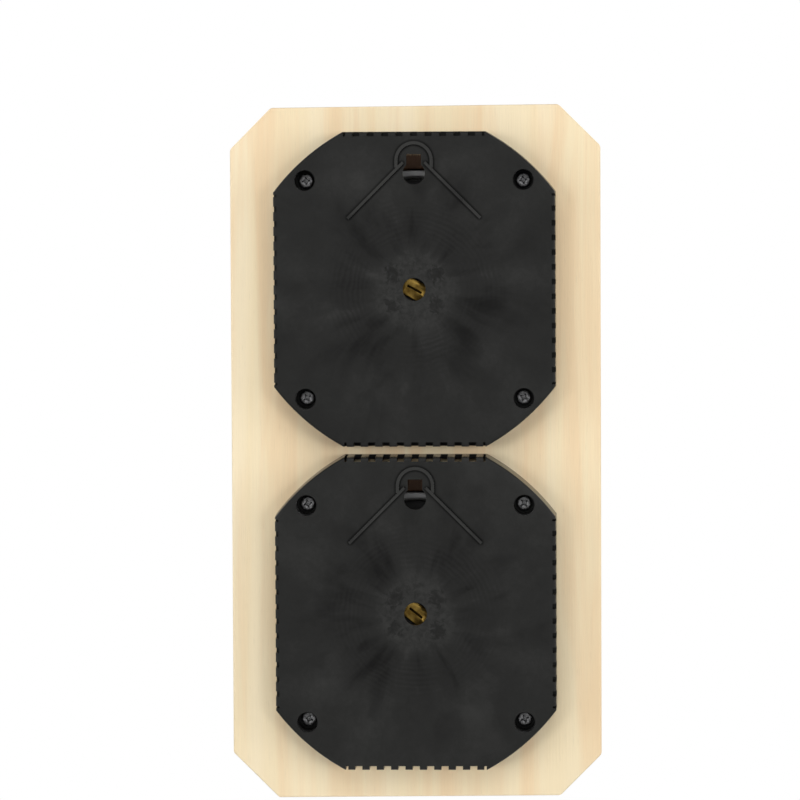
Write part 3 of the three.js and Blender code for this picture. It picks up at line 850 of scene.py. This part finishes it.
def arc_band(inner, outer, start, end, depth):
    """A flat ring segment between two angles, a hair thick."""
    steps = max(2, round(abs(end - start) / 3))
    angles = [start + (end - start) * i / steps for i in range(steps + 1)]
    outline = [on_circle(outer, a) for a in angles] + [on_circle(inner, a) for a in reversed(angles)]
    return prism(outline, depth, depth + INK_THICKNESS)


def lettering(text, size, x, z, depth):
    """A number or unit sign as a flat solid that faces the dial side."""
    curve = bpy.data.curves.new("lettering", "FONT")
    curve.body = text
    curve.size = size * MM
    curve.align_x = "CENTER"
    curve.align_y = "CENTER"
    curve.extrude = INK_THICKNESS / 2 * MM
    made = evaluated(linked("lettering", curve))
    turn = Matrix.Rotation(math.radians(90), 4, "X")
    made.transform(Matrix.Translation(Vector((x, -depth - INK_THICKNESS / 2, z)) * MM) @ turn)
    return outward(made)


def dial_print(unit, depth):
    """Ticks, numbers and the unit sign in black, as one mesh, and the coloured zone as another."""
    scale, last, outer = SCALES[unit], UNITS[unit]["top"], SCALE["outer"]
    marks = [arc_band(outer, outer + 0.25, -SCALE_SWEEP / 2, SCALE_SWEEP / 2, depth)]
    values = list(range(0, last + 1, scale["fine"]))
    values += [value for value in range(0, last + 1, scale["middle"]) if value % scale["fine"]]
    for value in values:
        kind = next(length for length in ("long", "middle", "fine") if value % scale[length] == 0)
        marks.append(tick(dial_angle(unit, value), SCALE[kind], outer, TICK_WIDTH[kind], depth))
    for value in range(0, last + 1, scale["long"]):
        place = on_circle(SCALE["numbers"], dial_angle(unit, value))
        marks.append(lettering(str(value), NUMBER_SIZE, *place, depth))
    marks.append(lettering(scale["sign"], SIGN_SIZE, 0, SIGN_HEIGHT, depth))
    start, end = (dial_angle(unit, value) for value in scale["zone"])
    return merged(marks), arc_band(outer + 0.6, outer + 1.9, start, end, depth)


def dial_plate_mesh():
    low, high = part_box("thermo_dial_plate")
    return band(PLATE_BORE, (high.x - low.x) / 2 / MM, -high.y / MM, -low.y / MM, 0.1, 192)


def pointer_mesh(unit):
    """A tapered needle with a broad tail, drawn pointing straight up."""
    low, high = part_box(unit + "_pointer")
    tip = [(-0.28, 31), (0, 32), (0.28, 31)]
    side = [
        (1.15, 9), (1.6, 4.5), (2.3, 1.2), (2.3, -1.2), (1.3, -3.5), (1.35, -7),
        (2.2, -9), (2.0, -10.6), (0.9, -11),
    ]
    outline = tip + side + [(-x, z) for x, z in reversed(side)]
    blade = prism(outline, -high.y / MM, -low.y / MM)
    return bevelled(cut(blade, rod(0.9, 20, 30, segments=24)), 0.1, 2)


def hub_mesh():
    """A cap over the arbor's end."""
    low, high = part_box("thermo_pointer_hub")
    radius = (high.x - low.x) / 2 / MM
    back, front = -high.y / MM, -low.y / MM
    corners = [
        (0, front), (radius - 0.7, front), (radius, front - 0.5), (radius, back),
        (1.05, back), (1.05, front - 0.4), (0, front - 0.4),
    ]
    return turned(rounded(corners, 0.3), 96)


# ---- Movement ----
def bridge_mesh():
    """A strip bent into a U whose feet are riveted to the dial plate."""
    low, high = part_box("thermo_movement_bridge")
    bar, base = -high.y / MM, -low.y / MM
    feet, half = high.x / MM, (high.z - low.z) / 2 / MM
    legs, strip, rivet_at = BRIDGE["legs"], BRIDGE["strip"], BRIDGE["rivet_at"]
    profile = [
        (-legs, bar), (legs, bar), (legs, base - strip), (feet, base - strip), (feet, base),
        (legs - strip, base), (legs - strip, bar + strip), (strip - legs, bar + strip),
        (strip - legs, base), (-feet, base), (-feet, base - strip), (-legs, base - strip),
    ]
    body = prism([(x, -depth) for x, depth in profile], -half, half)
    body.transform(Matrix.Rotation(math.radians(-90), 4, "X"))
    outward(body)
    holes = [rod(BRIDGE["rivet_hole"], base - 3, base + 1, x, 0, 24) for x in (-rivet_at, rivet_at)]
    return bevelled(cut(body, rod(BRIDGE["bore"], bar - 1, bar + 3, segments=48), *holes), 0.25, 2)


def coil_mesh(unit):
    """A strip wound in an even spiral, whose outer end lies on the anchor arm."""
    low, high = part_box(unit + "_" + UNITS[unit]["coil"])
    inner, outer, turns, strip, steps = COIL.values()
    count = round(turns * steps)

    def side(offset):
        points = []
        for i in range(count + 1):
            radius = inner + (outer - inner) * i / count + offset
            angle = 2 * math.pi * (i / steps - turns)
            points.append((radius * math.cos(angle), radius * math.sin(angle)))
        return points

    outline = side(strip / 2) + side(-strip / 2)[::-1]
    return smooth(prism(outline, -high.y / MM, -low.y / MM), 35)


def anchor_arm_mesh():
    """A hub with an arm along X whose end is bent forward to the coil's outer end."""
    back, thick, reach, half = (ANCHOR_ARM[key] for key in ("back", "thick", "reach", "half_width"))
    front = back + thick
    hub = rod(ANCHOR_ARM["hub"], back, front, segments=64)
    arm = combined(hub, block(0, reach, back, front, -half, half), "UNION")
    arm = combined(arm, block(reach - thick, reach, back, ANCHOR_ARM["front"], -half, half), "UNION")
    return bevelled(cut(arm, rod(ANCHOR_ARM["bore"], 5, 12, segments=48)), 0.15, 2)


def arbor_mesh():
    """The pointer's shaft, with the collet that holds the coil's inner end and a collar behind the dial."""
    low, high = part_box("thermo_arbor")
    back, front = -high.y / MM, -low.y / MM
    radius = ARBOR["radius"]
    corners = [(0, back), (radius, back)]
    for part in ("collet", "collar"):
        start, end = ARBOR[part + "_from"], ARBOR[part + "_to"]
        corners += [(radius, start), (ARBOR[part], start), (ARBOR[part], end), (radius, end)]
    corners += [(radius, front), (0, front)]
    return turned(rounded(corners, 0.12), 48)


def rivet_mesh():
    """A peened head behind the bridge's foot, a shank, and a flat head on the dial's face."""
    low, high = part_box("thermo_bridge_rivet_1")
    back, front = -high.y / MM, -low.y / MM
    tail, tail_to, shank, head, head_from = RIVET.values()
    corners = [
        (0, back), (1.1, back + 0.1), (tail, back + 0.4), (tail, tail_to), (shank, tail_to),
        (shank, head_from), (head, head_from), (1.3, front - 0.05), (0, front),
    ]
    return turned(rounded(corners, 0.15), 48)


def bushing_mesh():
    """A flanged bearing for the arbor in the dial plate."""
    low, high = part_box("thermo_dial_bushing")
    back, front = -high.y / MM, -low.y / MM
    bore, flange, barrel = BUSHING.values()
    corners = [
        (bore, back), (flange, back), (flange, back + 1),
        (barrel, back + 1), (barrel, front), (bore, front),
    ]
    return turned(rounded(corners, 0.15, closed=True), 64, closed=True)


def plain_ring(unit_node, width):
    """A ring as large as its CAD node, of a given width."""
    low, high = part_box("thermo_" + unit_node)
    outer = (high.x - low.x) / 2 / MM
    return band(outer - width, outer, -high.y / MM, -low.y / MM)


def lens_mesh():
    low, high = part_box("thermo_lens")
    radius, back, front = (high.x - low.x) / 2 / MM, -high.y / MM, -low.y / MM
    return turned(rounded([(0, back), (radius, back), (radius, front), (0, front)], 0.25), 192)


# ---- Assembly ----
# Where each screw's cross stands, in degrees.
SCREW_TURNS = {"thermo": (10, 5, 62, 30), "hygro": (40, 15, 20, 70)}


def build_unit(unit, shared):
    """One instrument. The adjuster's body stands at the slot's angle, and the pointer's at the reading."""
    middle = centre_of(unit)
    facts = UNITS[unit]

    def add(part, mesh, material, offset=(0, 0), angle=0):
        place = middle + Vector((offset[0], 0, offset[1])) * MM
        return finer(f"{unit}_{part}", mesh.copy(), material, place, angle)

    add("rear_housing", shared["housing"], moulded_plastic(unit + " housing plastic", facts["seed"]))
    for i, turn in enumerate(SCREW_TURNS[unit]):
        low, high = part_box(f"{unit}_housing_screw_{i + 1}")
        at = ((low + high) / 2 - middle) / MM
        add(f"housing_screw_{i + 1}", shared["screw"], SCREW_METAL, (at.x, at.z), turn)
    add("dial_casing", shared["casing"], GLOSS_BLACK)
    add("lens", shared["lens"], CLEAR)
    add("dial_spacer", shared["spacer"], GLOSS_BLACK)
    add("dial_plate", shared["plate"], DIAL_WHITE)
    add("dial_retainer", shared["retainer"], INNER_BLACK)
    add("movement_bridge", shared["bridge"], ZINC)
    add("dial_bushing", shared["bushing"], BRASS)
    add("friction_washer", shared["washer"], BLACKENED)
    for i, x in enumerate((-BRIDGE["rivet_at"], BRIDGE["rivet_at"])):
        add(f"bridge_rivet_{i + 1}", shared["rivet"], ZINC, (x, 0))
    arm_turn = facts["slot_angle"] - 90
    add("adjuster", shared["adjuster"], AGED_BRASS, angle=arm_turn)
    add("anchor_arm", shared["arm"], ZINC, angle=arm_turn)
    add(facts["coil"], coil_mesh(unit), COIL_METAL, angle=arm_turn)
    needle_turn = dial_angle(unit, facts["reading"])
    add("arbor", shared["arbor"], ZINC, angle=needle_turn)
    add("pointer", pointer_mesh(unit), POINTER_PAINT, angle=needle_turn)
    add("pointer_hub", shared["hub"], POINTER_PAINT, angle=needle_turn)
    face = -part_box(unit + "_dial_plate")[0].y / MM
    marks, zone = dial_print(unit, face)
    placed(unit + "_dial_print", "station", marks, INK, middle)
    placed(unit + "_dial_zone", "station", zone, SCALES[unit]["zone_ink"], middle)


def build():
    shared = {
        "housing": housing_mesh(), "screw": screw_mesh(), "casing": casing_mesh(), "lens": lens_mesh(),
        "spacer": plain_ring("dial_spacer", 1.6), "plate": dial_plate_mesh(),
        "retainer": plain_ring("dial_retainer", 4.2), "bridge": bridge_mesh(), "bushing": bushing_mesh(),
        "washer": plain_ring("friction_washer", 1.8), "rivet": rivet_mesh(), "adjuster": adjuster_mesh(),
        "arm": anchor_arm_mesh(), "arbor": arbor_mesh(), "hub": hub_mesh(),
    }
    finer("wood_board", board_mesh(), WOOD)
    for unit in UNITS:
        build_unit(unit, shared)


# ---- Stage ----
LENS_LENGTH = 166.5  # on a sensor 36 mm wide
CAMERA_PLACE = (-0.0431, 1.387, -0.0325)
CAMERA_TURN = (2.4629, 2.0045, -0.1726)  # pitch, yaw and roll in degrees, from square to the board's back

# The world's strength as a light, and how much of it is left straight behind the camera.
AMBIENT = 0.28
AMBIENT_BEHIND_CAMERA = 0.15
# Name, azimuth, elevation, strength and angular size. Azimuth is round +Z from +Y, the wall side.
SUNS = [
    ("near left strip", 27, 3, 0.48, 14),
    ("near right strip", -27, 3, 0.54, 14),
    ("left softbox", 58, 3, 0.6, 30),
    ("right softbox", -58, 3, 0.68, 30),
    ("top softbox", 0, 36, 0.98, 38),
    ("low softbox", 0, -34, 0.14, 30),
    ("card behind the camera", 2, 2, 0.17, 36),
    ("front left softbox", 130, 25, 1.6, 50),
    ("front right softbox", -130, 25, 1.6, 50),
]
FLOOR_REACH = 900  # in millimetres
FLOOR_DROP = 0.6  # in metres


def camera():
    data = bpy.data.cameras.new("camera")
    data.sensor_width = 36
    data.lens = LENS_LENGTH
    data.clip_start = 0.05
    data.clip_end = 50
    obj = linked("camera", data)
    pitch, yaw, roll = (math.radians(a) for a in CAMERA_TURN)
    # The view's axes are right, down and forward, and square on they are -X, -Z and -Y of the frame.
    turn = Matrix.Rotation(roll, 3, "Z") @ Matrix.Rotation(yaw, 3, "Y") @ Matrix.Rotation(pitch, 3, "X")
    square = Matrix(((-1, 0, 0), (0, 0, -1), (0, -1, 0)))
    right, down, forward = (square.transposed() @ row for row in (turn[0], turn[1], turn[2]))
    rotation = Matrix((right, -down, -forward)).transposed()
    obj.matrix_world = Matrix.Translation(CAMERA_PLACE) @ rotation.to_4x4()
    bpy.context.scene.camera = obj


def sun(name, azimuth, elevation, strength, angle):
    """A soft light from far away, with its angles in degrees."""
    data = bpy.data.lights.new(name, "SUN")
    data.energy = strength
    data.angle = math.radians(angle)
    obj = linked(name, data)
    a, e = math.radians(azimuth), math.radians(elevation)
    towards = Vector((math.sin(a) * math.cos(e), math.cos(a) * math.cos(e), math.sin(e)))
    obj.rotation_euler = towards.to_track_quat("Z", "Y").to_euler()


def stage():
    """A white surround that lights softly, the suns, and a floor well below the piece."""
    scene = bpy.context.scene
    scene.view_settings.view_transform = "Standard"
    world = bpy.data.worlds.new("studio")
    scene.world = world
    world.use_nodes = True
    tree = world.node_tree
    tree.nodes.clear()
    seen = shader_node(tree, "ShaderNodeBackground", {"Color": (1, 1, 1, 1), "Strength": 1.0})
    way = shader_node(tree, "ShaderNodeTexCoord").outputs["Generated"]
    towards_wall = parts_of(tree, way)["Y"]
    ambient = spread(tree, towards_wall, 0.8, 0.93, AMBIENT, AMBIENT * AMBIENT_BEHIND_CAMERA)
    light = shader_node(tree, "ShaderNodeBackground", {"Color": (1, 1, 1, 1), "Strength": ambient})
    path = shader_node(tree, "ShaderNodeLightPath")
    choice = {0: path.outputs["Is Camera Ray"], 1: light.outputs[0], 2: seen.outputs[0]}
    both = shader_node(tree, "ShaderNodeMixShader", choice)
    out = shader_node(tree, "ShaderNodeOutputWorld")
    tree.links.new(both.outputs[0], out.inputs["Surface"])
    for light_facts in SUNS:
        sun(*light_facts)
    floor = linked("floor", block(-FLOOR_REACH, FLOOR_REACH, -FLOOR_REACH, FLOOR_REACH, -4, 0))
    floor.location.z = cad_low.z - FLOOR_DROP
    floor.data.materials.append(paint("studio floor", (0.9, 0.9, 0.9), 0.6, 0.7, 0))


camera()
build()
stage()
